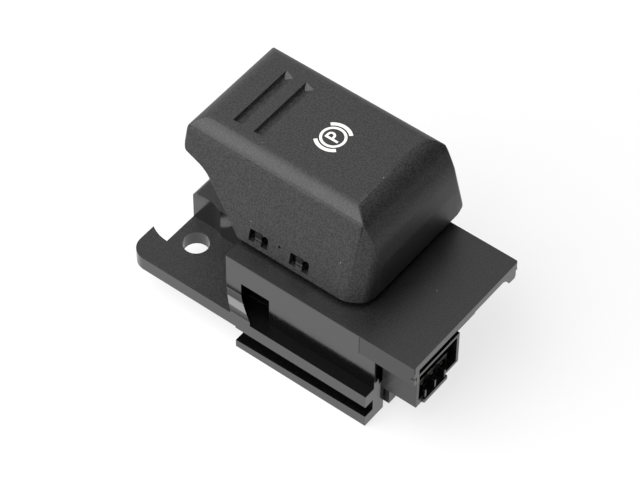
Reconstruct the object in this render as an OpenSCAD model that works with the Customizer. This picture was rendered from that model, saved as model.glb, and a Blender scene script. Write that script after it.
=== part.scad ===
// Parking brake switch: a rocker paddle over a cover plate, on a moulded bracket
// Origin: centre of the fixing hole, on the underside of the tab. Millimetres.

/* [Cover plate] */
// Length of the cover plate along X
plate_l = 68.9; // [68:0.1:74]
// Width of the cover plate along Y
plate_w = 51; // [50.5:0.1:54]
// Thickness of the cover plate at its edge
plate_t = 2.8; // [2.2:0.1:3.2]
// Height of the plate's top above the tab's underside
plate_top = 24.7; // [24.2:0.1:26]

/* [Bracket] */
// Thickness of the fixing tab
tab_t = 5.1; // [4:0.1:6]
// Diameter of the fixing hole
hole_d = 8.4; // [6:0.1:9]
// Height of the post box beside the tab
post_h = 16.7; // [12:0.1:18]
// Thickness of the front and left walls
wall_t = 2.3; // [1.8:0.1:2.4]
// Width of the window in the front wall
window_w = 10.5; // [8:0.1:11.5]
// Depth of the rail below the tab's underside
rail_drop = 9.35; // [9:0.05:11]
// Height of the slot in the rail at its right end
slot_h = 4.4; // [3.6:0.1:4.6]

/* [Knob] */
// Width of the knob at its lower edge
knob_w = 54.7; // [52:0.1:56]
// Height of the knob from its lower edge to its top
knob_h = 29.9; // [29:0.1:32]
// Gap between the plate and the knob's lower edge
knob_gap = 1.5; // [1.4:0.1:2.4]
// Wall thickness of the knob
knob_wall = 2; // [1.6:0.1:2.2]
// Length of the grip grooves
groove_l = 25; // [18:0.5:28]
// Depth of the grip grooves
groove_d = 1.3; // [0.6:0.1:1.4]

/* [Mechanism] */
// Diameter of the pivot pin
pin_d = 4; // [3:0.1:4.6]
// Diameter of the lever's round end
lever_d = 4.8; // [4:0.1:5.4]
// Distance from the pivot to the lever's round end
lever_r = 12; // [11.8:0.05:12.2]
// Diameter of the light guide
guide_d = 5; // [4:0.1:5.6]
// Thickness of the circuit board
board_t = 1.6; // [1:0.1:1.6]
// Outer diameter of a return spring
spring_d = 5; // [4.4:0.1:5.4]
// Wire diameter of a return spring
spring_wire = 0.6; // [0.4:0.05:0.8]

/* [Clearances] */
// Radial clearance of the pivot pin in the knob carrier
pin_run = 0.05; // [0.02:0.01:0.1]
// Clearance of the slider in its guide, each side
slide_run = 0.1; // [0.05:0.01:0.15]
// Clearance of the lever's end in the slider, each side
lever_run = 0.06; // [0.05:0.01:0.1]
// Clearance of pieces that are fixed in a recess, each side
fit = 0.05; // [0.02:0.01:0.1]

/* [Hidden] */
$fn = 48;

// plate
px0 = 20.4;
px1 = px0 + plate_l;
py0 = -10.9;
py1 = py0 + plate_w;
pz1 = plate_top;
pz0 = pz1 - plate_t;
// bracket
wy = py0 + 0.3;
wyi = wy + wall_t;
front = -14.63;
ledge_z = tab_t - 0.85;
rail_x0 = 26.9;
rail_x1 = 75.3;
rail_y1 = -5.8;
slot_y = -10.98;
slot_z1 = -0.65;
skirt_x = px1 - 19.85;
skirt_z = pz1 - 8.1;
// thin lip of the plate over the front wall, with a fine seam below it
lip_t = 0.45;
lip_y = wy + 1.1;
seam = 0.15;
win_x = 26;
win_top = pz1 - 9.4;
post_x = -7.45;
scallop_r = 7.9;
// housing
hx0 = px0 + wall_t;
hx1 = px1 - 12.3;
hy0 = -5.2;
hy1 = py1 - 2;
hz0 = -4.9;
hw = 1.8;
base_t = 2;
ix0 = hx0 + hw;
ix1 = hx1 - hw;
iy0 = hy0 + hw;
iy1 = hy1 - hw;
col = 6;
screw_r = 1.1;
screw_at = [[ix0 + 3, iy0 + 3], [ix1 - 3, iy0 + 3], [ix0 + 3, iy1 - 3], [ix1 - 3, iy1 - 3]];
// pivot and knob
// the rocker's middle, measured from the plate's back edge
yc = py1 - 17.5;
piv = [58, 16.7];
kz0 = pz1 + knob_gap;
kz1 = kz0 + knob_h;
lean = 0.265;
lean_a = atan(lean);
// the knob's plug end stands this far past the pivot
knob_over = 7.65;
kx1 = piv[0] + knob_over;
ky0 = yc - knob_w / 2;
open_x = [27.4, 63.6];
open_y = [yc - 15, yc + 15];
ear_x = 5;
ear_in = 12.7;
ear_a = [yc - ear_in - 3, yc - ear_in];
ear_b = [yc + ear_in, hy1];
cheek_in = 9.2;
cheek_a = [yc - cheek_in - 3, yc - cheek_in];
cheek_b = [yc + cheek_in, yc + cheek_in + 3];
hub_r = 4.2;
flange_z0 = kz0 + 1;
flange_z1 = flange_z0 + 2;
flange_x0 = 24;
flange_x1 = kx1 - knob_wall - 1.05;
win_z0 = kz0 + 2.8;
win_z1 = kz0 + 5.9;
clip_x = [23.8, 38.8];
clip_w = 6.9;
tongue_x0 = 2.2;
tongue_w = 2.4;
// board and slider
bz1 = 0.3;
bz0 = bz1 - board_t;
boss_at = [[34, 0.4], [62.5, 0.4], [34, iy1 - 2.3], [62.5, iy1 - 2.3]];
boss_r = 2;
bscrew_r = 0.9;
sym_x = 34.1;
sl_x = [50, 66];
sl_w = 10;
sl_z = [1.8 + slide_run, 6.5 - slide_run];
rail_in = sl_w / 2 + slide_run;
peg_at = [[38.5, yc - 7.4], [38.5, yc + 7.4]];
peg_z = 1.5;
cup_z = pz1 - 2.7;
cup_r = spring_d / 2 + 0.25;
// plug
cx1 = px1 - 0.6;
tongue_cx = px1 + 0.16;
shoulder_x = hx1 + 1.5;
cy0 = -8.3;
cy1 = 12.35;
cz0 = 3.7;
cz1 = 18.3;
core_y = -5;
step_y = 5.2;
pitch = 4.7;
term_y = [for (i = [0:2]) core_y + 2.6 + i * pitch];
term_z = 6.9;
term_w = 1;
term_t = 0.8;
leg_x = 66.8;

// points of a polygon whose corners [x, y, r] are rounded with n chords each
function unit(v) = v / norm(v);
function arc_pts(a, p, b, r, n) =
  let (u = unit(a - p), v = unit(b - p), half = acos(u * v) / 2)
  let (t = r / tan(half), c = p + unit(u + v) * r / sin(half))
  let (s = p + u * t - c, e = p + v * t - c)
  let (a0 = atan2(s[1], s[0]), d = atan2(e[1], e[0]) - a0)
  let (turn = d > 180 ? d - 360 : (d < -180 ? d + 360 : d))
  [for (i = [0:n]) c + r * [cos(a0 + turn * i / n), sin(a0 + turn * i / n)]];
function rounded(pts, n = 6) = [
  for (i = [0:len(pts) - 1])
    let (p = pts[i], a = pts[(i + len(pts) - 1) % len(pts)], b = pts[(i + 1) % len(pts)])
    each (p[2] > 0 ? arc_pts([a[0], a[1]], [p[0], p[1]], [b[0], b[1]], p[2], n) : [[p[0], p[1]]])
];

// a box from one corner to the other
module box(a, b) {
  translate(a) cube(b - a);
}

// a profile in X and Z, extruded along Y from y0 to y1
module along_y(y0, y1) {
  translate([0, y1, 0]) rotate([90, 0, 0]) linear_extrude(y1 - y0) children();
}

// a profile in Y and Z, extruded along X from x0 to x1
module along_x(x0, x1) {
  translate([x0, 0, 0]) rotate([90, 0, 90]) linear_extrude(x1 - x0) children();
}

// a cylinder along Y
module rod_y(x, z, y0, y1, r) {
  translate([x, y1, z]) rotate([90, 0, 0]) cylinder(h = y1 - y0, r = r);
}

// a cylinder along Z
module rod_z(at, z0, z1, r) {
  translate([at[0], at[1], z0]) cylinder(h = z1 - z0, r = r);
}

// the tab's outline, with its round front corner and the concave back edge
module tab_outline() {
  cr = 5.6;
  difference() {
    union() {
      polygon([[-14.4 + cr, front], [hx0, front], [hx0, 12], [post_x, 12], [post_x, -2.8], [-14.4, -2.8], [-14.4, front + cr]]);
      translate([-14.4 + cr, front + cr]) circle(r = cr, $fn = 64);
    }
    intersection() {
      translate([post_x, 7.91]) circle(r = 12.75, $fn = 128);
      translate([-30, -20]) square([30 + post_x, 40]);
    }
  }
}

// the flare that carries the front wall's left strip down onto the rail
module flare() {
  intersection() {
    translate([0, 0, 2]) linear_extrude(14) polygon([[px0, wy + 1], [px0, wy], [25, front], [32.4, front], [win_x, wy], [win_x, wy + 1]]);
    difference() {
      box([px0, front, 2], [34, wy + 1, tab_t + 5.2]);
      translate([px0 - 1, front - 0.3, tab_t + 5.2]) rotate([0, 90, 0]) cylinder(h = 20, r = 4.33, $fn = 64);
    }
  }
}

module post() {
  difference() {
    linear_extrude(post_h) difference() {
      polygon([[0, 6.65], [hx0, 6.65], [hx0, py1], [post_x, py1], [post_x, scallop_r], [0, scallop_r]]);
      circle(r = scallop_r, $fn = 64);
    }
    // rounded upper left edge
    difference() {
      box([post_x - 1, 5, post_h - 2.2], [post_x + 2.2, py1 + 1, post_h + 1]);
      rod_y(post_x + 2.2, post_h - 2.2, 4, py1 + 2, 2.2);
    }
    box([post_x + 2.2, 10.4, -1], [px0 - 2.2, py1 - 2.2, post_h - 2.2]);
  }
}

module bracket() {
  color([0.53, 0.53, 0.54]) difference() {
    union() {
      linear_extrude(tab_t) tab_outline();
      // the tab's top runs on to the flare
      linear_extrude(tab_t) polygon([[hx0 - 0.5, front], [25.6, front], [hx0 + 0.2, front + 2.4], [hx0 - 0.5, front + 2.4]]);
      post();
      // left wall, front wall and the back return
      box([px0, wy, 0], [hx0, py1, pz0]);
      box([px0, wy, 0], [rail_x1, wyi, pz0]);
      box([px0, wy, pz0 - 1], [skirt_x, lip_y, pz1 - lip_t - seam]);
      box([px0, hy1, 0], [48, py1, pz0]);
      // ribs that hold the switch housing
      box([42, wyi - 1, 6], [43.6, hy0, 16]);
      box([64, wyi - 1, 6], [65.6, hy0, 16]);
      // upper flange, web and lower flange of the rail
      box([px0, front, slot_z1], [rail_x1, rail_y1, ledge_z]);
      box([rail_x0, slot_y, -rail_drop], [rail_x1, rail_y1, 1]);
      box([rail_x0, front, -rail_drop], [rail_x1, slot_y + 1, slot_z1 - slot_h]);
      flare();
    }
    translate([0, 0, -1]) cylinder(h = tab_t + 2, r = hole_d / 2);
    // window
    box([win_x, wy, ledge_z], [win_x + window_w, wyi + 1, win_top]);
    // notch for the cover's skirt
    box([skirt_x, wy - 1, skirt_z], [rail_x1 + 1, wyi + 1, pz0 + 1]);
    // the slot's floor falls towards the left end
    along_y(front - 1, slot_y) polygon([[rail_x0 - 1, slot_z1 - slot_h - 1.4], [rail_x1 + 0.5, slot_z1 - slot_h], [rail_x1 + 0.5, slot_z1 - 0.5], [rail_x0 - 1, slot_z1 - 0.5]]);
    // the tab's underside stays clear below the flange
    box([px0 - 1, front - 1, -2], [rail_x0, wy - 2, 0]);
  }
}

module cover_plate() {
  r = 0.8;
  hook = [[py1 - 0.2, pz0], [py1 - 1, pz1 - 3.5], [py1 - 0.9, pz1 - 5.5], [py1 - 1.3, pz1 - 6.5], [py1 - 4.1, pz1 - 6.3], [py1 - 6, pz1 - 3.6], [py1 - 7.4, pz0]];
  color([0.24, 0.24, 0.245]) {
    difference() {
      union() {
        linear_extrude_from(pz0, pz1) rounded_rect(px0, py0, px1, py1, r);
        // front skirt with its return at the right-hand end
        box([skirt_x + 0.15, wy, skirt_z], [px1, wyi, pz0]);
        box([px1 - 2, wy, skirt_z], [px1, wyi, pz0]);
        along_x(px1 - 2.3, px1) polygon(hook);
      }
      box([open_x[0], open_y[0], pz0 - 1], [open_x[1], open_y[1], pz1 + 1]);
      // rebate over the front wall, and the same face carried along the skirt
      box([px0 - 1, py0 - 1, pz0 - 1], [skirt_x + 0.15, lip_y + fit, pz1 - lip_t]);
      box([skirt_x, py0 - 1, pz0 - 1], [px1 + 1, wy, pz1 - lip_t]);
      box([skirt_x, wy - 1, pz1 - lip_t - seam], [px1 - 0.6, wy + 0.4, pz1 - lip_t]);
      // snap gap in the skirt's end
      box([px1 - 1.2, wy - 1, skirt_z + 2.7], [px1 + 1, wy + 1.2, skirt_z + 3.1]);
      box([px1 - 1.2, wy + 0.9, skirt_z + 1.2], [px1 + 1, wy + 1.2, skirt_z + 3.1]);
    }
  }
}

module linear_extrude_from(z0, z1) {
  translate([0, 0, z0]) linear_extrude(z1 - z0) children();
}

module rounded_rect(x0, y0, x1, y1, r) {
  translate([x0 + r, y0]) square([x1 - x0 - 2 * r, y1 - y0]);
  translate([x0, y0 + r]) square([x1 - x0, y1 - y0 - 2 * r]);
  for (x = [x0 + r, x1 - r], y = [y0 + r, y1 - r]) translate([x, y]) circle(r = r);
}

module switch_housing() {
  color([0.1, 0.1, 0.105]) difference() {
    union() {
      difference() {
        box([hx0, hy0, hz0], [hx1, hy1, pz0]);
        difference() {
          box([ix0, iy0, hz0 - 1], [ix1, iy1, pz0 + 1]);
          // wall of the recess behind the window
          box([ix0 - 1, iy0 - 1, 2.6], [39.6, 3.1, pz0 + 2]);
        }
      }
      for (p = screw_at) box([p[0] - 3, p[1] - 3, hz0], [p[0] + 3, p[1] + 3, 2.6]);
      // bearing ears
      box([piv[0] - ear_x, ear_a[0], 5], [piv[0] + ear_x, ear_a[1], pz0]);
      for (x = [piv[0] - ear_x, piv[0] + ear_x - 1.4]) box([x, hy0 + 1, 5], [x + 1.4, ear_a[1] - 1, pz0]);
      box([piv[0] - ear_x, ear_b[0], 5], [piv[0] + ear_x, ear_b[1], pz0]);
      plug_shroud();
    }
    // recess behind the window
    box([ix0, hy0 - 1, 4.2], [38, 1.5, 20]);
    rod_y(piv[0], piv[1], ear_a[0] - 1, ear_b[1] + 1, pin_d / 2);
    for (p = screw_at) rod_z(p, hz0 - 1, 1.4, screw_r);
    // cavity of the plug and the window for its core
    box([shoulder_x, cy0 + 1.2, cz0 + 2.4], [tongue_cx + 1, cy1 - 1.2, cz1 - 1.2]);
    box([shoulder_x, core_y - fit, cz0 + 1.2], [tongue_cx + 1, step_y, cz1 - 1.2]);
    box([ix1 - 1, core_y - fit, 5.4], [shoulder_x + 0.5, core_y + 3 * pitch + 0.6 + fit, 8.6]);
  }
}

module plug_shroud() {
  box([hx1 - 0.5, cy0, cz0], [cx1, -5.2, cz1]);
  box([hx1 - 0.5, -5.4, cz0 - 0.3], [cx1, 6.2, cz1]);
  box([hx1 - 0.5, 6, cz0 + 1.3], [cx1, cy1, cz1]);
  box([cx1 - 1, -5.2, cz0 - 0.3], [tongue_cx, 6.1, cz0 + 1.3]);
}

module housing_base() {
  color([0.1, 0.1, 0.105]) difference() {
    union() {
      box([hx0, hy0, hz0 - base_t], [hx1, hy1, hz0]);
      for (p = boss_at) rod_z(p, hz0 - 1, bz0, boss_r);
      for (x = [33, ix1 - 8.5]) rod_z([x, iy1 - 3], -rail_drop, hz0 - 1, 3);
    }
    for (p = boss_at) rod_z(p, hz0 - 1, bz0 + 1, bscrew_r);
    for (p = screw_at) {
      rod_z(p, hz0 - base_t - 1, hz0 + 1, screw_r);
      rod_z(p, hz0 - base_t - 1, hz0 - base_t + 1.1, 2 + fit);
    }
  }
}

module base_screws() {
  z = hz0 - base_t;
  color("silver") for (p = screw_at) difference() {
    union() {
      rod_z(p, z + 1.1, 0.8, screw_r);
      rod_z(p, z, z + 1.1, 2);
    }
    rod_z(p, z - 1, z + 0.6, 0.9, $fn = 6);
  }
}

module circuit_board() {
  c = col + 0.4;
  color([0.09, 0.3, 0.16]) difference() {
    box([ix0 + 0.4, iy0 + 0.4, bz0], [ix1 - 0.4, iy1 - 0.4, bz1]);
    for (x = [ix0 - 1, ix1 - c], y = [iy0 - 1, iy1 - c]) box([x, y, bz0 - 1], [x + c + 1, y + c + 1, bz1 + 1]);
    for (p = boss_at) rod_z(p, bz0 - 1, bz1 + 1, bscrew_r);
    for (y = term_y) box([leg_x, y - term_w / 2, bz0 - 1], [leg_x + term_t, y + term_w / 2, bz1 + 1]);
  }
}

module board_screws() {
  color("silver") for (p = boss_at) difference() {
    union() {
      rod_z(p, -4.4, bz1, bscrew_r);
      rod_z(p, bz1, bz1 + 1.2, 1.8);
    }
    rod_z(p, bz1 + 0.6, bz1 + 2, 0.8, $fn = 6);
  }
}

module contact_pads() {
  color([0.75, 0.6, 0.25]) for (y = [yc - 3.3, yc, yc + 3.3]) {
    box([59.6, y - 0.9, bz1], [62.6, y + 0.9, bz1 + 0.05]);
    box([62.9, y - 0.9, bz1], [66.4, y + 0.9, bz1 + 0.05]);
  }
}

module control_chip() {
  color([0.06, 0.06, 0.06]) {
    box([43.5, 3.6, bz1 + 0.2], [48.5, 7.4, bz1 + 1.6]);
    for (i = [0:3], y = [2.6, 7.2]) box([44.3 + i * 1.05, y, bz1], [44.7 + i * 1.05, y + 1.2, bz1 + 0.7]);
  }
}

module board_components() {
  color([0.55, 0.45, 0.35]) {
    for (i = [0:2]) box([40.5 + i * 3, -1.4, bz1], [42.5 + i * 3, -0.2, bz1 + 0.9]);
    for (i = [0:1]) box([52 + i * 3.4, 1.2, bz1], [54.4 + i * 3.4, 2.6, bz1 + 1.2]);
    box([29.5, yc + 5.8, bz1], [31.5, yc + 7, bz1 + 0.9]);
    rod_z([71, yc + 1.4], bz1, bz1 + 5.5, 2.2);
  }
}

module lamp() {
  color([0.95, 0.93, 0.8]) {
    box([sym_x - 1.7, yc - 1.4, bz1], [sym_x + 1.7, yc + 1.4, bz1 + 0.9]);
    rod_z([sym_x, yc], bz1 + 0.8, bz1 + 1.5, 1.2);
  }
}

module terminals() {
  color([0.75, 0.7, 0.55]) for (y = term_y) {
    box([leg_x, y - term_w / 2, term_z], [cx1 - 2.3, y + term_w / 2, term_z + term_t]);
    box([leg_x, y - term_w / 2, bz0 - 1], [leg_x + term_t, y + term_w / 2, term_z + 0.1]);
  }
}

module connector_core() {
  x0 = shoulder_x;
  z0 = cz0 + 1.2;
  wall = 0.8;
  color([0.08, 0.08, 0.085]) difference() {
    union() {
      box([x0, core_y, z0], [cx1 - 2.1, core_y + 3 * pitch + 0.6, z0 + 5.2]);
      // wall ends in front of the chambers
      for (i = [0:2]) box([cx1 - 2.7, core_y + 0.3 + i * pitch, z0], [cx1 + 0.5, core_y + 0.3 + wall + i * pitch, z0 + 3.6]);
      box([ix1 - 0.6, core_y, 5.4 + fit], [x0 + 1, core_y + 3 * pitch + 0.6, 8.6 - fit]);
    }
    // raised floor under the last chamber
    box([x0, step_y - fit, z0 - 1], [cx1 + 2, 11, cz0 + 2.4]);
    for (i = [0:2]) {
      y = term_y[i];
      box([x0 + 2.5, y - 1.5, z0 + 0.8], [cx1, y + 1.5, z0 + 3.6]);
      box([x0 - 8, y - term_w / 2, term_z], [x0 + 3, y + term_w / 2, term_z + term_t]);
    }
  }
}

module slider_guide() {
  r = rail_in;
  color([0.3, 0.3, 0.32]) difference() {
    union() {
      difference() {
        box([35.5, yc - 9.4, bz1], [69, yc + 9.4, peg_z]);
        box([33, yc - 4.6, bz1 - 1], [43, yc + 4.6, peg_z + 1]);
        box([47, yc - r, bz1 - 1], [71, yc + r, peg_z + 1]);
      }
      for (s = [-1, 1]) {
        translate([0, yc, 0]) scale_y(s) {
          box([46.6, r, bz1], [69, r + 2.1, 7.5]);
          box([46.6, r - 1.1, 6.5], [69, r + 1, 7.5]);
          box([46.6, r - 0.8, bz1], [69, r + 1, 1.8]);
        }
      }
      for (p = peg_at) rod_z(p, peg_z - 0.5, peg_z + 3, spring_d / 2 - spring_wire - 0.2);
    }
  }
}

// mirrors its child in Y when s is -1
module scale_y(s) {
  if (s > 0) children();
  else mirror([0, 1, 0]) children();
}

module stop_buffers() {
  h = knob_gap - 0.2;
  color([0.05, 0.05, 0.05]) for (y = [yc - 12, yc + 12]) box([23.6, y - 4, pz1], [26, y + 4, pz1 + h]);
}

module pivot_pin() {
  r = pin_d / 2;
  color("silver") difference() {
    union() {
      rod_y(piv[0], piv[1], ear_a[0] - 1.5, ear_b[1] + 0.5, r);
      rod_y(piv[0], piv[1], ear_b[1], ear_b[1] + 1, r + 1.2);
    }
    difference() {
      rod_y(piv[0], piv[1], ear_a[0] - 0.6, ear_a[0], r + 1);
      rod_y(piv[0], piv[1], ear_a[0] - 2, ear_a[0] + 1, r - 0.5);
    }
  }
}

module pin_clip() {
  r = pin_d / 2;
  color([0.35, 0.35, 0.37]) difference() {
    rod_y(piv[0], piv[1], ear_a[0] - 0.6, ear_a[0], r + 1.4);
    rod_y(piv[0], piv[1], ear_a[0] - 2, ear_a[0] + 1, r - 0.5);
    box([piv[0] - (r - 0.7), ear_a[0] - 2, piv[1] - 8], [piv[0] + (r - 0.7), ear_a[0] + 1, piv[1]]);
  }
}

// one flank of the knob: a leaning prism with the round corner at the plug end
module flank(t, far) {
  c = [[-4.75, 0, 4.9 - t], [kx1 - 6.2, 0, 7], [kx1 - 0.9, 3.2, 3.5], [kx1, 7.2, 6], [kx1, 80, 0], [-4.75, 80, 0]];
  p = [for (q = c) [q[0] > 0 ? q[0] - t : q[0] + t, q[1] + (q[1] < 70 ? t : 0), q[2]]];
  translate([0, ky0, kz0]) rotate([-lean_a, 0, 0]) translate([0, 0, -20]) linear_extrude(90) polygon(rounded(p, 4));
}

// the knob's outer body for t = 0, and its hollow for t = wall thickness
module knob_body(t) {
  zb = t > 0 ? kz0 - 2 : kz0;
  zt = kz1 - t;
  s = 1.0406;
  k = t * 1.443;
  c1 = 26.2 + s * (20 + k) - 26.2;
  // where the slanted back meets the underside of the lip
  bx = 4.8 + 0.55 * t;
  bz = kz0 + s * (20 + k - bx);
  side = [[20 + k + (kz0 - zb) / s, zb, 0], [bx, bz, t > 0 ? 0 : 14], [-3.6 + t, bz + 0.323 * (bx + 3.6 - t), t > 0 ? 0 : 1.2], [-4.75 + t, kz0 + 20.5 + t * 0.4, t > 0 ? 0 : 1.4],
    [-4.75 + t, zt, 6.6 - t], [58.6 - t * 0.5, zt, 9 - t], [64.3 - t * 0.85, kz0 + 20.8 - t * 0.3, 14], [kx1 - t, kz0 + 11.8, 10], [kx1 - t, zb, 0]];
  intersection() {
    along_y(yc - 40, yc + 40) polygon(rounded(side, 6));
    flank(t);
    translate([0, 2 * yc, 0]) mirror([0, 1, 0]) flank(t);
    along_x(-30, 90) polygon(top_round(t));
  }
}

// the rounding between the knob's top and its flanks
function top_round(t) =
  let (zt = kz1 - t, r = 6.4 - t, w = knob_w / 2 - lean * (zt - kz0) - t * 1.035)
  let (a = arc_pts([yc - w - lean * 20, zt - 20], [yc - w, zt], [yc + w, zt], r, 6))
  let (b = [for (i = [len(a) - 1:-1:0]) [2 * yc - a[i][0], a[i][1]]])
  concat([[yc - w - 14, kz0 - 20]], a, b, [[yc + w + 14, kz0 - 20]]);

module groove(x) {
  z = kz1;
  d = groove_d;
  intersection() {
    along_y(yc - 25, yc + 25) polygon([[x, z + 1], [x, z], [x + 0.45, z - d], [x + 1.5, z - d * 0.8], [x + 3.6, z], [x + 3.6, z + 1]]);
    along_x(x - 5, x + 10) polygon([[yc - groove_l / 2, z], [yc - groove_l / 2 + 3.6, z - d], [yc + groove_l / 2 - 3.6, z - d], [yc + groove_l / 2, z], [yc + groove_l / 2, z + 2], [yc - groove_l / 2, z + 2]]);
  }
}

module knob_cap() {
  color([0.3, 0.3, 0.305]) difference() {
    union() {
      difference() {
        knob_body(0);
        knob_body(knob_wall);
      }
      // ribs from the ceiling down onto the carrier
      for (y = [yc - 12, yc + 12]) box([24, y - 1, flange_z1], [52, y + 1, kz1 - 1.5]);
    }
    groove(7.1);
    groove(14.6);
    for (x = clip_x) box([x, ky0 - 5, win_z0], [x + clip_w, yc + knob_w, win_z1]);
    rod_y(34.7, kz0 + 5.3, ky0 - 3, ky0 + 6, 0.45);
    translate([0, 0, kz1 - 0.5]) linear_extrude(2) symbol();
  }
}

// ring, outer arcs and the letter-shaped bar, seen from above with its top towards -X
module symbol() {
  w = 0.85;
  translate([sym_x, yc]) {
    difference() {
      circle(r = 4.1);
      circle(r = 4.1 - w);
    }
    difference() {
      circle(r = 5.95);
      circle(r = 5.95 - w);
      translate([2.6, -8]) square([8, 16]);
      translate([-10.6, -8]) square([8, 16]);
    }
    // stem and bowl
    translate([-2.3, -1.25]) square([4.6, 0.8]);
    difference() {
      union() {
        translate([-0.9, 0.2]) circle(r = 1.4);
        translate([-2.3, -1.2]) square([2.8, 1.4]);
      }
      translate([-0.9, 0.2]) circle(r = 0.65);
      translate([-1.55, -0.45]) square([1.3, 0.65]);
    }
  }
}

module symbol_inlay() {
  color([0.85, 0.85, 0.82]) translate([0, 0, kz1 - 0.5]) linear_extrude(0.5) symbol();
}

module carrier_side() {
  // latch wall and its tongues in the knob's windows
  z0 = flange_z1 - 0.5;
  y0 = ky0 + lean * (flange_z1 - kz0) + knob_wall * 1.035 + 1.1;
  for (x = clip_x) {
    box([x + 0.4, y0, z0], [x + clip_w - 0.4, y0 + 1.4, win_z1]);
    box([x + tongue_x0, y0 - 2.9, win_z0 + 0.5], [x + tongue_x0 + tongue_w, y0 + 0.5, win_z1]);
  }
}

module knob_carrier() {
  y0 = ky0 + 2.95;
  r = pin_d / 2 + pin_run;
  color([0.27, 0.27, 0.275]) difference() {
    union() {
      linear_extrude_from(flange_z0, flange_z1) polygon([[flange_x0, y0], [flange_x1 - 8.1, y0], [flange_x1, y0 + 6.5], [flange_x1, 2 * yc - y0 - 6.5], [flange_x1 - 8.1, 2 * yc - y0], [flange_x0, 2 * yc - y0]]);
      carrier_side();
      translate([0, 2 * yc, 0]) mirror([0, 1, 0]) carrier_side();
      for (c = [cheek_a, cheek_b]) {
        box([38.5, c[0], cup_z - 2], [61.6, c[1], flange_z0 + 1]);
        box([piv[0] - 3.6, c[0], piv[1]], [piv[0] + 3.6, c[1], flange_z0 + 1]);
        rod_y(piv[0], piv[1], c[0], c[1], hub_r);
      }
      for (p = peg_at) rod_z(p, cup_z - 2, flange_z0 + 1, cup_r + 0.9);
      rod_z([sym_x, yc], cup_z - 2, flange_z1, guide_d / 2 + 1.4);
      // lever that moves the contact slider
      rod_y(piv[0], piv[1], yc - 2, yc + 2, hub_r);
      rod_y(piv[0], piv[1] - lever_r, yc - 2, yc + 2, lever_d / 2);
      along_y(yc - 2, yc + 2) polygon([[piv[0] - 3, flange_z0 + 1], [piv[0] + 3, flange_z0 + 1], [piv[0] + 3, piv[1]], [piv[0] + 1.5, piv[1] - 9.6], [piv[0] + 1.5, piv[1] - lever_r], [piv[0] - 1.5, piv[1] - lever_r], [piv[0] - 1.5, piv[1] - 9.6], [piv[0] - 3, piv[1]]]);
    }
    rod_y(piv[0], piv[1], yc - 25, yc + 25, r);
    rod_z([sym_x, yc], 0, 60, guide_d / 2 + fit);
    for (p = peg_at) rod_z(p, 0, cup_z, cup_r);
    // nothing stands past the flange's end inside the knob
    box([flange_x1, yc - 30, kz0 - 0.5], [flange_x1 + 40, yc + 30, flange_z1 + 1]);
    // the underside of the pivot arms ends above the hubs
    box([0, yc - 25, 0], [piv[0] - hub_r - 0.5, yc + 25, cup_z - 2]);
  }
}

module light_guide() {
  color([0.85, 0.9, 0.92]) {
    rod_z([sym_x, yc], 4, kz1 - knob_wall, guide_d / 2);
    rod_z([sym_x, yc], flange_z1, flange_z1 + 1.2, guide_d / 2 + 1);
  }
}

module contact_slider() {
  h = lever_d / 2 + lever_run;
  color([0.85, 0.85, 0.8]) difference() {
    box([sl_x[0], yc - sl_w / 2, sl_z[0]], [sl_x[1], yc + sl_w / 2, sl_z[1]]);
    box([piv[0] - h, yc - 2.4, 0], [piv[0] + h, yc + 2.4, 10]);
  }
}

module wiper_contacts() {
  z = sl_z[0];
  b = bz1 + 0.09;
  strip = [[65.8, z], [63.7, z], [61.25, b + 0.25], [61.1, b + 0.25], [60.5, b + 0.7], [60.35, b + 0.5], [61.05, b], [61.3, b], [63.85, z - 0.2], [65.8, z - 0.2]];
  color([0.8, 0.5, 0.3]) for (y = [yc - 3.3, yc, yc + 3.3]) along_y(y - 0.6, y + 0.6) polygon(strip);
}

// a helix of round wire between two heights
module coil(at, z0, z1, r, w, turns) {
  sides = 6;
  steps = 12;
  n = turns * steps;
  pts = [for (i = [0:n], j = [0:sides - 1])
    let (a = 360 * i / steps, b = 360 * j / sides, q = r + w / 2 * cos(b))
    [q * cos(a), q * sin(a), z0 + w / 2 + (z1 - z0 - w) * i / n + w / 2 * sin(b)]];
  faces = concat(
    [[for (j = [0:sides - 1]) j]],
    [for (i = [0:n - 1], j = [0:sides - 1]) [i * sides + j, (i + 1) * sides + j, (i + 1) * sides + (j + 1) % sides, i * sides + (j + 1) % sides]],
    [[for (j = [sides - 1:-1:0]) n * sides + j]]);
  translate([at[0], at[1], 0]) polyhedron(pts, faces);
}

module return_springs() {
  color([0.7, 0.7, 0.72]) for (p = peg_at) coil(p, peg_z, cup_z, spring_d / 2 - spring_wire / 2, spring_wire, 7);
}

bracket();
cover_plate();
switch_housing();
housing_base();
base_screws();
circuit_board();
board_screws();
contact_pads();
control_chip();
board_components();
lamp();
terminals();
connector_core();
slider_guide();
stop_buffers();
pivot_pin();
pin_clip();
knob_cap();
symbol_inlay();
knob_carrier();
light_guide();
contact_slider();
wiper_contacts();
return_springs();
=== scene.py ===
"""Looks of the parking brake switch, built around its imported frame."""

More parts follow.
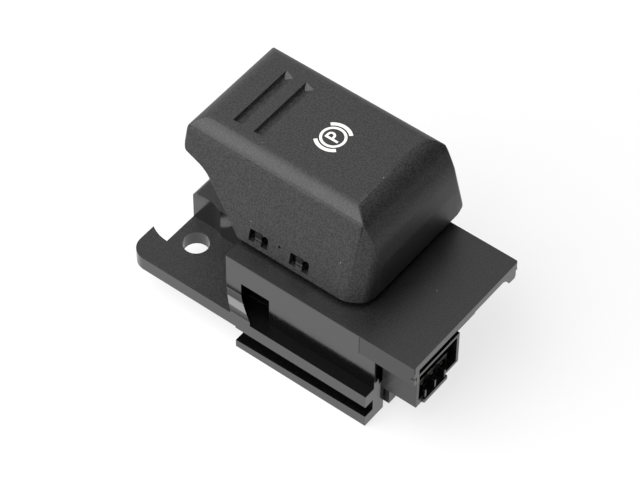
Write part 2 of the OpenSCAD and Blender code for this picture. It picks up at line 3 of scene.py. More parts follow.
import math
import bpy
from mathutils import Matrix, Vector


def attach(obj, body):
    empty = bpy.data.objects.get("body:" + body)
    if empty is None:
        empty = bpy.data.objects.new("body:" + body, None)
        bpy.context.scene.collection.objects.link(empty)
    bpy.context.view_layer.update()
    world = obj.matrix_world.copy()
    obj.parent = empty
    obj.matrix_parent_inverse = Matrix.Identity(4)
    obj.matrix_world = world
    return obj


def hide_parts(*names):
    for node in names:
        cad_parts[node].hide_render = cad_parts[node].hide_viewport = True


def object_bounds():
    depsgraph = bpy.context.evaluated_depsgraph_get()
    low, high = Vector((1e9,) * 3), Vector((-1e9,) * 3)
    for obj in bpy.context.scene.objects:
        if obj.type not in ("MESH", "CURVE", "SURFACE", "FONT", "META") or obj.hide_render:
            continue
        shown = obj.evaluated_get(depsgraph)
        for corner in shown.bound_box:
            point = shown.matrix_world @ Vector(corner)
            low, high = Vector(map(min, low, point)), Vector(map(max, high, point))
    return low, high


bl_info = {
    "name": "Parking Brake Switch",
    "version": (1, 0, 0),
    "blender": (4, 5, 0),
    "location": "View3D > Sidebar > Switch",
    "description": "Builds a parking brake switch's pieces with their materials, and a studio",
    "category": "Add Mesh",
}

import bmesh
import bpy
from mathutils import Matrix, Vector

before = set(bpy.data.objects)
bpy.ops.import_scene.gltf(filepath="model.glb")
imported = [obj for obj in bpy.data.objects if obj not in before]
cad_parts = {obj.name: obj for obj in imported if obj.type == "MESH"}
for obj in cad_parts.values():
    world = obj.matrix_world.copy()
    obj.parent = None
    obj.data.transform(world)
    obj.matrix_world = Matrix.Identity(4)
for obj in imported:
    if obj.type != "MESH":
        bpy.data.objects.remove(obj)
cad_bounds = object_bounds()

# Sizes and places, in millimetres
MM = 0.001
MIDDLE = 22.6  # the knob's middle, across the switch
KNOB_FOOT = 26.2
KNOB_TOP = 56.1
FLANK_AT_FOOT = -4.75
LEAN = 0.265  # how far a flank leans in for each millimetre up
LEANING_WALL = 1.035  # a leaning wall measured across the switch, for each millimetre of its thickness
CLIPS_AT = (23.8, 38.8)
CLIP_FOOT = 29.0
CLIP_TOP = 32.1
GROOVES_AT = (7.1, 14.6)
GROOVE_HALF = 12.5
SYMBOL_AT = 34.1
SYMBOL_FOOT = 55.6
ARC_INNER = 4.6
ARC_OUTER = 5.8
GRAIN_FROM = 4.5  # upper faces are grained from this height on, and the rail's ledges below it take a near-black finish as painted shade

# How meshes are merged, flattened and shaded
SAME_POINT = 1e-6
FLAT = math.radians(0.4)
SHADE_SHARP = math.radians(30.0)
FACES_UP = 0.9

WHITE = (1.0, 1.0, 1.0, 1.0)


# Shader helpers
class Val:
    """An output socket in a node tree; arithmetic on it adds Math nodes."""

    def __init__(self, nodes, socket):
        self.nodes = nodes
        self.socket = socket

    def math(self, operation, other):
        return self.nodes.add("ShaderNodeMath", {"operation": operation}, {0: self, 1: other})

    def reflected(self, operation, other):
        return self.nodes.add("ShaderNodeMath", {"operation": operation}, {0: other, 1: self})

    def __add__(self, other):
        return self.math("ADD", other)

    def __radd__(self, other):
        return self.reflected("ADD", other)

    def __sub__(self, other):
        return self.math("SUBTRACT", other)

    def __rsub__(self, other):
        return self.reflected("SUBTRACT", other)

    def __mul__(self, other):
        return self.math("MULTIPLY", other)

    def __rmul__(self, other):
        return self.reflected("MULTIPLY", other)

    def __lt__(self, other):
        return self.math("LESS_THAN", other)

    def __gt__(self, other):
        return self.math("GREATER_THAN", other)


class Nodes:
    """A node tree, emptied, with one method that adds any node."""

    def __init__(self, tree):
        self.tree = tree
        tree.nodes.clear()

    def put(self, socket, value):
        if isinstance(value, Val):
            self.tree.links.new(value.socket, socket)
        else:
            socket.default_value = value

    def add(self, kind, settings, inputs, output=0):
        node = self.tree.nodes.new(kind)
        for key, value in settings.items():
            setattr(node, key, value)
        for key, value in inputs.items():
            self.put(node.inputs[key], value)
        return Val(self, node.outputs[output]) if node.outputs else node

    def seen(self):
        """1 for what the camera, a mirror image or a clear piece looks at."""
        camera = self.add("ShaderNodeLightPath", {}, {}, "Is Camera Ray")
        glossy = self.add("ShaderNodeLightPath", {}, {}, "Is Glossy Ray")
        through = self.add("ShaderNodeLightPath", {}, {}, "Is Transmission Ray")
        return camera + glossy + through


class Mat(Nodes):
    """A node material with one Principled shader."""

    SOCKETS = {
        "color": "Base Color", "rough": "Roughness", "metal": "Metallic", "ior": "IOR",
        "spec": "Specular IOR Level", "through": "Transmission Weight", "normal": "Normal",
    }

    def __init__(self, name):
        self.material = bpy.data.materials.new(name)
        self.material.use_nodes = True
        super().__init__(self.material.node_tree)
        self.shader = self.tree.nodes.new("ShaderNodeBsdfPrincipled")
        self.output = self.add("ShaderNodeOutputMaterial", {}, {0: Val(self, self.shader.outputs[0])})
        self.coords = self.add("ShaderNodeTexCoord", {}, {}, "Object")

    def set(self, **values):
        for key, value in values.items():
            self.put(self.shader.inputs[self.SOCKETS[key]], value)
        return self.material

    def noise(self, size, detail=2.0):
        """Noise whose features are about size millimetres across."""
        inputs = {"Vector": self.coords, "Scale": 1.0 / (size * MM), "Detail": detail}
        return self.add("ShaderNodeTexNoise", {}, inputs, "Fac")

    def blend(self, factor, a, b):
        return self.add("ShaderNodeMix", {"data_type": "RGBA"}, {0: factor, 6: a, 7: b}, 2)

    def bump(self, height, strength, depth):
        inputs = {"Height": height, "Strength": strength, "Distance": depth * MM}
        return self.add("ShaderNodeBump", {}, inputs)

    def specks(self, cell, radius, share):
        """Round specks of dust: one in some of the cells."""
        inputs = {"Vector": self.coords, "Scale": 1.0 / (cell * MM)}
        spot = self.add("ShaderNodeTexVoronoi", {}, inputs, "Distance")
        pick = self.add("ShaderNodeTexVoronoi", {}, inputs, "Color")
        tone = self.add("ShaderNodeSeparateColor", {}, {0: pick}, 0)
        return (spot < radius / cell) * (tone < share)


def grey(value, warm=0.0):
    """A linear colour from an sRGB grey."""
    linear = value / 12.92 if value <= 0.04045 else ((value + 0.055) / 1.055) ** 2.4
    return (linear * (1 + warm), linear, linear * (1 - warm), 1.0)


def moulded(name, tone, rough, grain=0.35, depth=0.02, spec=0.5, dust=0.0, warm=0.0, speckle=0.5):
    """Moulded plastic: a fine grain, faint cloudiness and a little dust."""
    m = Mat(name)
    fine = m.noise(grain, 2.0)
    coarse = m.noise(grain * 1.6, 0.0)
    cloud = m.noise(9.0, 2.0)
    clouded = m.blend(cloud, grey(tone * 0.95, warm), grey(tone * 1.05, warm))
    light = m.blend(0.6, clouded, grey(tone * (1 + speckle), warm))
    color = m.blend((coarse - 0.4) * 5.0, grey(tone * (1 - speckle), warm), light)
    if dust:
        color = m.blend(m.specks(4.5, 0.16, dust) * 0.75, color, grey(0.62))
    uneven = (cloud - 0.5) * 0.1 + (coarse - 0.5) * 0.12 + rough
    return m.set(color=color, rough=uneven, spec=spec, normal=m.bump(fine, 1.0, depth))


def metal(name, color, rough):
    """Drawn or plated metal with fine streaks."""
    m = Mat(name)
    fine = m.noise(0.6, 4.0)
    stained = m.blend(m.noise(3.0, 2.0), color, tuple(c * 0.8 for c in color[:3]) + (1.0,))
    return m.set(color=stained, metal=1.0, rough=(fine - 0.5) * 0.3 + rough, normal=m.bump(fine, 0.3, 0.01))


# Mesh helpers
def finish_of(face, top, low):
    """Which of a piece's finishes a face takes: its first, that of upper faces or the painted shade of low
    ledges.
    """
    if not top or face.normal.z <= FACES_UP:
        return 0
    high = face.calc_center_median().z > GRAIN_FROM * MM
    return 1 if high or not low else 2


def add_piece(name, bm, material, body, node, top=None, low=None):
    """Makes an object of a bmesh in metres, hangs it on its body and lets it replace its CAD node."""
    for face in bm.faces:
        face.smooth = True
        face.material_index = finish_of(face, top, low)
    for edge in bm.edges:
        edge.smooth = len(edge.link_faces) == 2 and edge.calc_face_angle(0.0) < SHADE_SHARP
    mesh = bpy.data.meshes.new(name)
    bm.to_mesh(mesh)
    bm.free()
    for finish in (material, top, low):
        if finish:
            mesh.materials.append(finish)
    piece = bpy.data.objects.new(name, mesh)
    bpy.context.scene.collection.objects.link(piece)
    weighted = piece.modifiers.new("normals", "WEIGHTED_NORMAL")
    weighted.keep_sharp = True
    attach(piece, body)
    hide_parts(node)


def baked(bm, modify):
    """Runs modifiers on a bmesh and returns the result as a new bmesh."""
    mesh = bpy.data.meshes.new("work")
    bm.to_mesh(mesh)
    bm.free()
    work = bpy.data.objects.new("work", mesh)
    bpy.context.scene.collection.objects.link(work)
    helpers = modify(work) or []
    bpy.context.view_layer.update()
    graph = bpy.context.evaluated_depsgraph_get()
    result = bmesh.new()
    result.from_mesh(bpy.data.meshes.new_from_object(work.evaluated_get(graph)))
    for spent in [work] + helpers:
        bpy.data.objects.remove(spent)
    return result


def cad_copy(node):
    """A merged copy of a CAD node's mesh, with its flat faces whole again."""
    bm = bmesh.new()
    bm.from_mesh(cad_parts[node].data)
    bmesh.ops.remove_doubles(bm, verts=bm.verts, dist=SAME_POINT)
    flatten(bm, FLAT)
    return bm


def flatten(bm, angle):
    """Joins the faces that lie in one plane, within an angle."""
    bmesh.ops.dissolve_limit(
        bm, angle_limit=angle, verts=bm.verts, edges=bm.edges, use_dissolve_boundaries=False)


def softened(node, width):
    """A CAD node with its sharp edges rounded, as a moulding has them."""
    def modify(work):
        bevel = work.modifiers.new("edge", "BEVEL")
        bevel.width = width * MM
        bevel.segments = 2
        bevel.limit_method = "ANGLE"
        bevel.angle_limit = math.radians(34.0)
        bevel.use_clamp_overlap = True
        bevel.miter_outer = "MITER_ARC"
    return baked(cad_copy(node), modify)


def cut(bm, cutters, operation="DIFFERENCE"):
    """Takes closed cutter meshes out of a body, or keeps what lies in both."""
    tools = []
    for number, cutter in enumerate(cutters):
        mesh = bpy.data.meshes.new(f"cutter{number}")
        bmesh.ops.recalc_face_normals(cutter, faces=cutter.faces)
        cutter.to_mesh(mesh)
        cutter.free()
        tool = bpy.data.objects.new(mesh.name, mesh)
        bpy.context.scene.collection.objects.link(tool)
        tools.append(tool)

    def modify(work):
        for tool in tools:
            boolean = work.modifiers.new(tool.name, "BOOLEAN")
            boolean.operation = operation
            boolean.solver = "EXACT"
            boolean.object = tool
        return tools
    return baked(bm, modify)


def extrude(bm, faces, lift):
    """Extrudes faces by the vector lift, in millimetres."""
    made = bmesh.ops.extrude_face_region(bm, geom=faces)
    moved = [v for v in made["geom"] if isinstance(v, bmesh.types.BMVert)]
    bmesh.ops.translate(bm, verts=moved, vec=Vector(lift) * MM)


def prism(points, lift):
    """A closed prism: a face through the points, extruded by the vector lift. Millimetres."""
    bm = bmesh.new()
    face = bm.faces.new([bm.verts.new(Vector(p) * MM) for p in points])
    extrude(bm, [face], lift)
    bmesh.ops.recalc_face_normals(bm, faces=bm.faces)
    return bm


def block(low, high):
    """A box between two corners, in millimetres."""
    bm = bmesh.new()
    bmesh.ops.create_cube(bm, size=1.0)
    low, high = Vector(low), Vector(high)
    bmesh.ops.scale(bm, vec=(high - low) * MM, verts=bm.verts)
    bmesh.ops.translate(bm, vec=(high + low) / 2 * MM, verts=bm.verts)
    return bm


def near(metres, millimetres):
    """Whether a place in metres is the one given in millimetres."""
    return abs(metres - millimetres * MM) < SAME_POINT


def rounded(bm, edges, amount, segments):
    """Bevels edges round, by an amount in millimetres."""
    bmesh.ops.bevel(
        bm, geom=edges, offset=amount * MM, offset_type="OFFSET", segments=segments, profile=0.5,
        affect="EDGES", clamp_overlap=False, material=-1)


def round_corner(bm, radius, axis, belongs):
    """Rounds each edge along one axis whose two ends belong to a corner."""
    def along(edge):
        return abs(edge.verts[0].co[axis] - edge.verts[1].co[axis]) > MM
    edges = [e for e in bm.edges if radius and all(belongs(v.co) for v in e.verts) and along(e)]
    if edges:
        angle = max(e.calc_face_angle() for e in edges)
        rounded(bm, edges, radius * math.tan(angle / 2), max(4, int(angle * 9)))


# Settings
class KnobSettings(bpy.types.PropertyGroup):
    """Sizes of the knob, in millimetres."""

    fillet: bpy.props.FloatProperty(
        name="Fillet", description="Radius between the knob's top and its flanks",
        default=6.4, min=2.0, max=7.0)
    nose: bpy.props.FloatProperty(
        name="Nose radius", description="Radius over the pulling lip", default=6.6, min=3.0, max=8.0)
    lip_corner: bpy.props.FloatProperty(
        name="Lip corner", description="Radius of the lip's corners, seen from above",
        default=2.4, min=1.0, max=5.0)
    edge: bpy.props.FloatProperty(
        name="Edge", description="Radius of the crisp edges", default=0.45, min=0.1, max=1.0)
    wall: bpy.props.FloatProperty(
        name="Wall", description="Thickness of the knob's shell", default=2.0, min=1.0, max=3.0)
    arc_span: bpy.props.FloatProperty(
        name="Arc span", description="Turn of each arc beside the symbol's ring, in degrees",
        default=92.0, min=40.0, max=120.0)
    groove_depth: bpy.props.FloatProperty(
        name="Groove depth", description="Depth of the grip grooves", default=1.3, min=0.4, max=1.6)
    tone: bpy.props.FloatProperty(
        name="Tone", description="Grey of the knob", subtype="FACTOR", default=0.13, min=0.0, max=1.0)


class BodySettings(bpy.types.PropertyGroup):
    """Edges and greys of the mouldings."""

    edge: bpy.props.FloatProperty(
        name="Edge", description="Edge radius of the mouldings, in millimetres",
        default=0.28, min=0.05, max=0.6)
    bracket_tone: bpy.props.FloatProperty(
        name="Bracket tone", description="Grey of the bracket", subtype="FACTOR",
        default=0.055, min=0.0, max=1.0)
    plate_tone: bpy.props.FloatProperty(
        name="Plate tone", description="Grey of the cover plate", subtype="FACTOR",
        default=0.085, min=0.0, max=1.0)
    inner_tone: bpy.props.FloatProperty(
        name="Inner tone", description="Grey of the switch housing and the plug", subtype="FACTOR",
        default=0.05, min=0.0, max=1.0)


class StageSettings(bpy.types.PropertyGroup):
    """Camera and light."""

    azimuth: bpy.props.FloatProperty(
        name="Azimuth", description="Camera's turn about the object, in degrees", default=37.25)
    elevation: bpy.props.FloatProperty(
        name="Elevation", description="Camera's height above the horizon, in degrees", default=49.67)
    key: bpy.props.FloatProperty(
        name="Key light", description="Power of the main lamp", default=16.0, min=0.0, unit="POWER")
    world: bpy.props.FloatProperty(
        name="World light", description="Strength of the light from all round", default=0.45, min=0.0)
    paper: bpy.props.FloatProperty(
        name="Paper", description="Share of plain white in the floor", subtype="FACTOR",
        default=0.75, min=0.0, max=1.0)


# The knob
def flank_y(z):
    """Where the near flank stands, across the switch, at a height."""
    return FLANK_AT_FOOT + LEAN * (z - KNOB_FOOT)


def knob_solid(s, t):
    """The knob's outside for t = 0, or its hollow for t = the wall's thickness: three outlines that cross."""
    low = KNOB_FOOT - (2.0 if t else 0.0)
    top = KNOB_TOP - t
    drop = KNOB_FOOT - low
    start = low - 5
    # seen from the side, as x, z and radius: the slanted back, the lip, the top and the plug end
    side = [
        (20.0 + t * 1.44 + drop * 0.96, low, 0),
        (4.8 + 0.55 * t, 42.0 + 0.9 * t, 0 if t else 10.0),
        (-3.6 + t, 44.72 + t, 0 if t else 1.2),
        (-4.75 + t, 46.7 + 0.4 * t, 0 if t else 1.4),
        (-4.75 + t, top, s.nose - t),
        (58.6 - 0.5 * t, top, 9.0 - t),
        (64.3 - 0.85 * t, 47.0 - 0.3 * t, 14.0),
        (65.65 - t, 38.0, 10.0),
        (65.65 - t, low, 0),
    ]
    body = prism([(x, MIDDLE - 40, z) for x, z, radius in side], (0, 80, 0))
    for x, z, radius in side:
        round_corner(body, radius, 1, lambda co: near(co.x, x) and near(co.z, z))
    # seen from the lip: the leaning flanks and the fillets along the top
    foot_y = flank_y(start) + LEANING_WALL * t
    top_y = flank_y(top) + LEANING_WALL * t
    outline = [(foot_y, start), (top_y, top), (2 * MIDDLE - top_y, top), (2 * MIDDLE - foot_y, start)]
    roof = prism([(-30, y, z) for y, z in outline], (120, 0, 0))
    round_corner(roof, s.fillet - t, 0, lambda co: near(co.z, top))
    # seen from above, as x, depth and radius: the lip's corners and the drawn-in corners of the plug end
    plan = [
        (-4.77 + t, 0.0, s.lip_corner - 0.5 * t),
        (59.45 - 0.2 * t, 0.0, 7.0),
        (64.75 - t, 3.31, 3.5),
        (65.67 - t, 7.44, 6.0),
    ]
    ring = [(x, foot_y - 0.02 + depth, start) for x, depth, radius in plan]
    foot = prism(ring + [(x, 2 * MIDDLE - y, z) for x, y, z in reversed(ring)], (0, 0, 65 - low))
    for (x, y, z), (_, _, radius) in zip(ring, plan):
        def belongs(co):
            return near(co.x, x) and (near(co.y, y) or near(co.y, 2 * MIDDLE - y))
        round_corner(foot, radius, 2, belongs)
    # the corners lean with the flanks
    for v in foot.verts:
        shift = LEAN * (v.co.z - start * MM)
        v.co.y += shift if v.co.y < MIDDLE * MM else -shift
    return cut(cut(body, [roof], "INTERSECT"), [foot], "INTERSECT")


def knob_shell(s):
    """The knob's shell, open at the bottom."""
    outside = knob_solid(s, 0.0)
    flatten(outside, math.radians(0.3))
    sharp = math.radians(24)
    crisp = [e for e in outside.edges if len(e.link_faces) == 2 and e.calc_face_angle(0.0) > sharp]
    rounded(outside, crisp, s.edge, 2)
    return cut(outside, [knob_solid(s, s.wall)])


def groove_cutter(x, depth):
    """One grip groove: a steep wall towards the lip, a floor that rises, and a ramp at its far end."""
    profile = [
        (0, 1), (0, 0), (0.4, -0.6 * depth), (0.85, -0.9 * depth), (1.4, -depth),
        (3.3, -0.5), (3.4, 0), (3.4, 1),
    ]
    y = MIDDLE - GROOVE_HALF
    bm = prism([(x + along, y, KNOB_TOP + up) for along, up in profile], (0, 2 * GROOVE_HALF, 0))
    for v in bm.verts:
        down = KNOB_TOP * MM - v.co.z
        if down > SAME_POINT:
            v.co.y += -down * 1.7 if v.co.y > MIDDLE * MM else down * 0.3
    return bm


def window_cutters(x, side):
    """The openings round a latch tongue: a square one, an arch and the slit below the tongue."""
    y0, y1 = (-9.0, 3.0) if side < 0 else (2 * MIDDLE - 3.0, 2 * MIDDLE + 9.0)
    square = block((x, y0, CLIP_FOOT), (x + 2.2, y1, CLIP_TOP))
    slit = block((x + 2.1, y0, CLIP_FOOT), (x + 4.7, y1, CLIP_FOOT + 0.45))
    radius = 1.15
    middle = x + 5.75
    centre = Vector((middle, y0, CLIP_TOP - radius))
    arch = bmesh.new()
    upright = Matrix.Rotation(math.pi / 2, 4, "X")
    bmesh.ops.create_circle(arch, cap_ends=True, segments=24, radius=radius * MM, matrix=upright)
    bmesh.ops.translate(arch, vec=centre * MM, verts=arch.verts)
    for v in arch.verts:
        if v.co.z < (centre.z - 0.05) * MM:
            v.co.z = CLIP_FOOT * MM
            v.co.x = (middle + math.copysign(radius, v.co.x - middle * MM)) * MM
    bmesh.ops.remove_doubles(arch, verts=arch.verts, dist=SAME_POINT)
    extrude(arch, list(arch.faces), (0, y1 - y0, 0))
    # the sills of the square and of the arch fall away inwards
    for bm in (square, arch):
        for v in bm.verts:
            depth = v.co.y / MM + 4.0 if side < 0 else 2 * MIDDLE + 4.0 - v.co.y / MM
            if v.co.z < (CLIP_FOOT + 0.1) * MM and depth > 0:
                v.co.z -= 0.36 * depth * MM
    return [square, slit, arch]


def pin_hole():
    """The cutter of the small hole between the clips."""
    pin = bmesh.new()
    place = Matrix.Translation(Vector((34.7, -4, 31.5)) * MM) @ Matrix.Rotation(math.pi / 2, 4, "X")
    radius = 0.45 * MM
    bmesh.ops.create_cone(
        pin, cap_ends=True, segments=16, radius1=radius, radius2=radius, depth=10 * MM, matrix=place)
    return pin


def symbol_print(s):
    """The inlaid symbol: the ring and the letter as they are, and the two arcs beside them."""
    bm = cad_copy("symbol_inlay")
    middle = Vector((SYMBOL_AT, MIDDLE, 0)) * MM
    far = [v for v in bm.verts if (v.co - middle).xy.length > ARC_INNER * MM]
    bmesh.ops.delete(bm, geom=far, context="VERTS")
    section = (
        (ARC_INNER, SYMBOL_FOOT), (ARC_OUTER, SYMBOL_FOOT), (ARC_OUTER, KNOB_TOP), (ARC_INNER, KNOB_TOP))
    for side in (90, 270):
        start = math.radians(side - s.arc_span / 2)
        out = Vector((math.cos(start), math.sin(start), 0))
        corners = [middle + out * r * MM + Vector((0, 0, z * MM)) for r, z in section]
        face = bm.faces.new([bm.verts.new(c) for c in corners])
        bmesh.ops.spin(
            bm, geom=[face] + list(face.edges) + list(face.verts), cent=middle, axis=(0, 0, 1),
            angle=math.radians(s.arc_span), steps=24, use_merge=False)
    bmesh.ops.remove_doubles(bm, verts=bm.verts, dist=SAME_POINT)
    bmesh.ops.recalc_face_normals(bm, faces=bm.faces)
    return bm


# Operators
class SWITCH_OT_knob(bpy.types.Operator):
    """Build the knob's shell with its grooves and latch windows"""

    bl_idname = "switch.knob"
    bl_label = "Knob"

    def execute(self, context):
        s = context.scene.switch_knob
        cutters = [groove_cutter(x, s.groove_depth) for x in GROOVES_AT]
        for x in CLIPS_AT:
            cutters += window_cutters(x, -1) + window_cutters(x, 1)
        cutters += [pin_hole(), symbol_print(s)]
        bm = knob_shell(s)
        for cutter in cutters:
            bm = cut(bm, [cutter])
        knob = moulded("knob_grain", s.tone, 0.5, grain=0.3, depth=0.03, dust=0.5)
        add_piece("knob", bm, knob, "rocker", "knob_cap")
        symbol = Mat("symbol_print")
        tint = symbol.noise(1.5, 2.0)
        color = symbol.blend(tint, grey(0.9, 0.02), grey(0.97, 0.02))
        white = symbol.set(color=color, rough=(tint - 0.5) * 0.1 + 0.5)
        add_piece("symbol", symbol_print(s), white, "rocker", "symbol_inlay")
        return {"FINISHED"}


class SWITCH_OT_bracket(bpy.types.Operator):
    """Build the bracket with its smooth sides, grained tab and ledges darkened with painted shade"""

    bl_idname = "switch.bracket"
    bl_label = "Bracket"

    def execute(self, context):
        s = context.scene.switch_body
        tone = s.bracket_tone
        smooth = moulded("bracket_smooth", tone * 0.25, 0.15, grain=0.5, depth=0.002, spec=1.0, speckle=0.2)
        grained = moulded("bracket_grain", tone * 1.6, 0.42, grain=0.3, depth=0.02, spec=0.45, dust=0.3)
        # painted shade: the low ledges take a near-black, dull finish that stands in for the shade falling on
        # them
        painted_ledge_shade = moulded("bracket_ledge_painted_shade", 0.012, 0.5, grain=0.5, depth=0.01, spec=0.1)
        add_piece("bracket_body", softened("bracket", s.edge), smooth, "base", "bracket", grained, painted_ledge_shade)
        return {"FINISHED"}


class SWITCH_OT_plate(bpy.types.Operator):
    """Build the cover plate with its grained top"""

    bl_idname = "switch.plate"
    bl_label = "Cover plate"

    def execute(self, context):
        s = context.scene.switch_body
        tone = s.plate_tone
        smooth = moulded("plate_smooth", tone * 0.3, 0.16, grain=0.8, depth=0.001, spec=0.7, speckle=0.2)
        grained = moulded("plate_grain", tone, 0.34, grain=0.28, depth=0.016, spec=0.55, dust=0.3)
        add_piece("plate_body", softened("cover_plate", s.edge * 0.4), smooth, "base", "cover_plate", grained)
        return {"FINISHED"}


class SWITCH_OT_housing(bpy.types.Operator):
    """Build the switch housing, its base and the plug"""

    bl_idname = "switch.housing"
    bl_label = "Housing and plug"

    def execute(self, context):
        s = context.scene.switch_body
        black = moulded("housing_black", s.inner_tone, 0.3, grain=0.5, depth=0.006, spec=0.7, speckle=0.2)
        parts = (
            ("housing_body", "switch_housing", 0.6), ("base_cover", "housing_base", 0.6),
            ("plug_core", "connector_core", 0.5))
        for name, node, share in parts:
            add_piece(name, softened(node, s.edge * share), black, "base", node)
        return {"FINISHED"}


def solder_mask():
    """The board's green lacquer."""
    m = Mat("solder_mask")
    weave = m.noise(0.8, 2.0)
    color = m.blend(weave, (0.012, 0.08, 0.03, 1), (0.02, 0.13, 0.05, 1))
    return m.set(color=color, rough=(weave - 0.5) * 0.2 + 0.4, normal=m.bump(weave, 0.4, 0.01))


def clear_acrylic():
    """The light guide's clear plastic."""
    m = Mat("clear_acrylic")
    haze = m.noise(1.2, 2.0)
    return m.set(color=(0.9, 0.94, 0.95, 1), through=1.0, ior=1.49, rough=(haze - 0.5) * 0.08 + 0.1)


def lamp_resin():
    """The lamp's pale resin."""
    m = Mat("lamp_resin")
    cloud = m.noise(0.7, 2.0)
    color = m.blend(cloud, (0.8, 0.75, 0.5, 1), (0.95, 0.92, 0.8, 1))
    return m.set(color=color, rough=(cloud - 0.5) * 0.2 + 0.3)


class SWITCH_OT_inside(bpy.types.Operator):
    """Give the working pieces inside their materials"""

    bl_idname = "switch.inside"
    bl_label = "Working pieces"

    def execute(self, context):
        steel = metal("plated_steel", (0.62, 0.62, 0.6, 1.0), 0.35)
        dark = metal("spring_steel", (0.3, 0.3, 0.32, 1.0), 0.4)
        brass = metal("tinned_brass", (0.72, 0.66, 0.5, 1.0), 0.35)
        copper = metal("spring_copper", (0.72, 0.42, 0.24, 1.0), 0.3)
        looks = {
            "base_screws": steel, "board_screws": steel, "pivot_pin": steel, "pin_clip": dark,
            "return_springs": dark, "terminals": brass, "contact_pads": brass, "wiper_contacts": copper,
            "circuit_board": solder_mask(), "light_guide": clear_acrylic(), "lamp": lamp_resin(),
            "control_chip": moulded("chip_black", 0.12, 0.5, grain=0.3, depth=0.01),
            "board_components": moulded("ceramic_tan", 0.5, 0.4, grain=0.3, depth=0.01, warm=0.25),
            "slider_guide": moulded("guide_grey", 0.3, 0.45, grain=0.4, depth=0.01),
            "contact_slider": moulded("slider_natural", 0.82, 0.4, grain=0.4, depth=0.01, warm=0.03),
            "stop_buffers": moulded("buffer_rubber", 0.1, 0.8, grain=0.3, depth=0.02),
            # the carrier is black plastic, darkened further as painted shade so the knob's windows look black
            # inside
            "knob_carrier": moulded("carrier_black_painted_shade", 0.04, 0.5, grain=0.3, depth=0.02, spec=0.3),
        }
        for node, material in looks.items():
            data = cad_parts[node].data
            data.materials.clear()
            data.materials.append(material)
        return {"FINISHED"}


# The stage
ROLL = math.radians(0.68)
AIM = Vector((50.4, 9.1, 19.7))
CAMERA_FROM_AIM = (-8.17, 9.71, 868.5)  # to the right, up and back
SENSOR = 36.0
LENS = 166.78
LAMP_TOWARDS = Vector((-0.38, -0.52, 0.77)).normalized()
LAMP_AIM = Vector((0.04, 0.015, 0.02))
LAMP_DISTANCE = 0.9
LAMP_SIZE = 1.4
BOARDS = ((-10.0, 0.75), (50.0, 0.95))  # turn about the object in degrees, and height in metres
BOARD_DISTANCE = 0.55
BOARD_LIFT = 0.06
FLOOR_GAP = 0.0001


def add_camera(s):
    """The camera, from its turn and height about the object."""
    az, el = math.radians(s.azimuth), math.radians(s.elevation)
    back = Vector((math.sin(az) * math.cos(el), -math.cos(az) * math.cos(el), math.sin(el)))
    level = Vector((math.cos(az), math.sin(az), 0))
    upright = back.cross(level)
    right = math.cos(ROLL) * level + math.sin(ROLL) * upright
    up = -math.sin(ROLL) * level + math.cos(ROLL) * upright
    to_right, to_top, to_back = CAMERA_FROM_AIM
    place = (AIM + to_right * right + to_top * up + to_back * back) * MM
    data = bpy.data.cameras.new("camera")
    data.sensor_width = SENSOR
    data.lens = LENS
    data.clip_start = 0.01
    camera = bpy.data.objects.new("camera", data)
    matrix = Matrix((right, up, back)).transposed().to_4x4()
    matrix.translation = place
    camera.matrix_world = matrix
    bpy.context.scene.collection.objects.link(camera)
    bpy.context.scene.camera = camera


def add_lamp(power):
    """The one large soft lamp, high on the left of the camera."""
    data = bpy.data.lights.new("key", "AREA")
    data.shape = "DISK"
    data.size = LAMP_SIZE
    data.energy = power
    lamp = bpy.data.objects.new("key", data)
    lamp.location = LAMP_AIM + LAMP_TOWARDS * LAMP_DISTANCE
    lamp.rotation_euler = LAMP_TOWARDS.to_track_quat("Z", "Y").to_euler()
    bpy.context.scene.collection.objects.link(lamp)


def add_stage_sheet(name, bm, material):
    """A sheet that belongs to the stage and not to the switch."""
    mesh = bpy.data.meshes.new(name)
    bm.to_mesh(mesh)
    bm.free()
    mesh.materials.append(material)
    sheet = bpy.data.objects.new(name, mesh)
    bpy.context.scene.collection.objects.link(sheet)
    return sheet


def add_board(material, turn, height):
    """A dark board that keeps the light from the right, out of the camera's sight."""
    bm = bmesh.new()
    bmesh.ops.create_grid(bm, x_segments=1, y_segments=1, size=0.5)
    bmesh.ops.rotate(bm, cent=(0, 0, 0), matrix=Matrix.Rotation(math.pi / 2, 3, "Y"), verts=bm.verts)
    bmesh.ops.scale(bm, vec=(1, 1.1, height), verts=bm.verts)
    bmesh.ops.translate(bm, vec=(BOARD_DISTANCE, 0, BOARD_LIFT + height / 2), verts=bm.verts)
    bmesh.ops.rotate(bm, cent=(0, 0, 0), matrix=Matrix.Rotation(math.radians(turn), 3, "Z"), verts=bm.verts)
    add_stage_sheet("board", bm, material).visible_camera = False


def floor_paper(level):
    """White paper: a pale surface that keeps the shadow, lifted to white for what looks at it."""
    m = Mat("floor_paper")
    m.set(color=(0.93, 0.93, 0.93, 1.0), rough=0.9, spec=0.1)
    lift = m.add("ShaderNodeEmission", {}, {"Color": WHITE, "Strength": 1.0})
    shader = Val(m, m.shader.outputs[0])
    mixed = m.add("ShaderNodeMixShader", {}, {0: m.seen() * level, 1: shader, 2: lift})
    m.put(m.output.inputs[0], mixed)
    return m.material


def set_world(strength):
    """Plain light from all round, and white for what looks at it."""
    world = bpy.data.worlds.new("studio")
    bpy.context.scene.world = world
    world.use_nodes = True
    sky = Nodes(world.node_tree)
    light = sky.add("ShaderNodeBackground", {}, {"Color": WHITE, "Strength": strength})
    white = sky.add("ShaderNodeBackground", {}, {"Color": WHITE, "Strength": 1.0})
    mixed = sky.add("ShaderNodeMixShader", {}, {0: sky.seen(), 1: light, 2: white})
    sky.add("ShaderNodeOutputWorld", {}, {0: mixed})


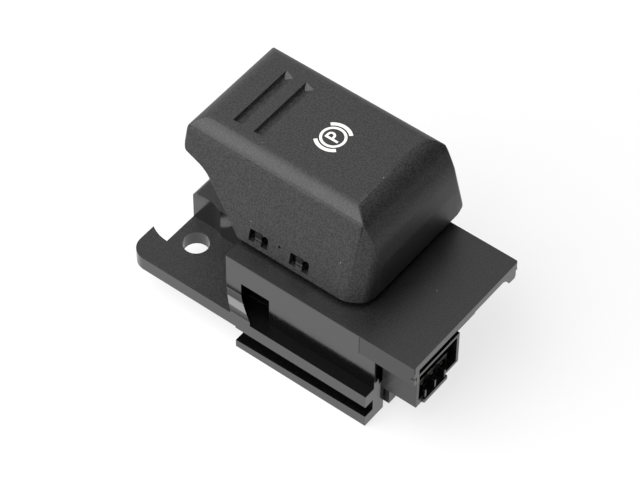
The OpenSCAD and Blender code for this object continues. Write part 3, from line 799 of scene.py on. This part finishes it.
class SWITCH_OT_stage(bpy.types.Operator):
    """Set up the camera, the lamp, the world and the floor"""

    bl_idname = "switch.stage"
    bl_label = "Stage"

    def execute(self, context):
        s = context.scene.switch_stage
        context.scene.view_settings.view_transform = "Standard"
        add_camera(s)
        add_lamp(s.key)
        black = Mat("board_black").set(color=(0.09, 0.09, 0.09, 1.0), rough=1.0, spec=0.0)
        for turn, height in BOARDS:
            add_board(black, turn, height)
        floor = bmesh.new()
        bmesh.ops.create_grid(floor, x_segments=1, y_segments=1, size=3.0)
        bmesh.ops.translate(floor, vec=(0, 0, cad_bounds[0][2] - FLOOR_GAP), verts=floor.verts)
        add_stage_sheet("floor", floor, floor_paper(s.paper))
        set_world(s.world)
        return {"FINISHED"}


class SWITCH_PT_panel(bpy.types.Panel):
    """The switch's pieces in the sidebar"""

    bl_label = "Parking brake switch"
    bl_idname = "SWITCH_PT_panel"
    bl_space_type = "VIEW_3D"
    bl_region_type = "UI"
    bl_category = "Switch"

    def draw(self, context):
        for group in ("switch_knob", "switch_body", "switch_stage"):
            settings = getattr(context.scene, group)
            for name in settings.__annotations__:
                self.layout.prop(settings, name)
        for cls in OPERATORS:
            self.layout.operator(cls.bl_idname)


OPERATORS = (
    SWITCH_OT_stage, SWITCH_OT_knob, SWITCH_OT_bracket, SWITCH_OT_plate, SWITCH_OT_housing, SWITCH_OT_inside)
CLASSES = (KnobSettings, BodySettings, StageSettings) + OPERATORS + (SWITCH_PT_panel,)


def register():
    for cls in CLASSES:
        bpy.utils.register_class(cls)
    bpy.types.Scene.switch_knob = bpy.props.PointerProperty(type=KnobSettings)
    bpy.types.Scene.switch_body = bpy.props.PointerProperty(type=BodySettings)
    bpy.types.Scene.switch_stage = bpy.props.PointerProperty(type=StageSettings)


def unregister():
    del bpy.types.Scene.switch_knob
    del bpy.types.Scene.switch_body
    del bpy.types.Scene.switch_stage
    for cls in reversed(CLASSES):
        bpy.utils.unregister_class(cls)


def main():
    register()
    bpy.ops.switch.stage()
    bpy.ops.switch.knob()
    bpy.ops.switch.bracket()
    bpy.ops.switch.plate()
    bpy.ops.switch.housing()
    bpy.ops.switch.inside()


if __name__ == "__main__":
    main()
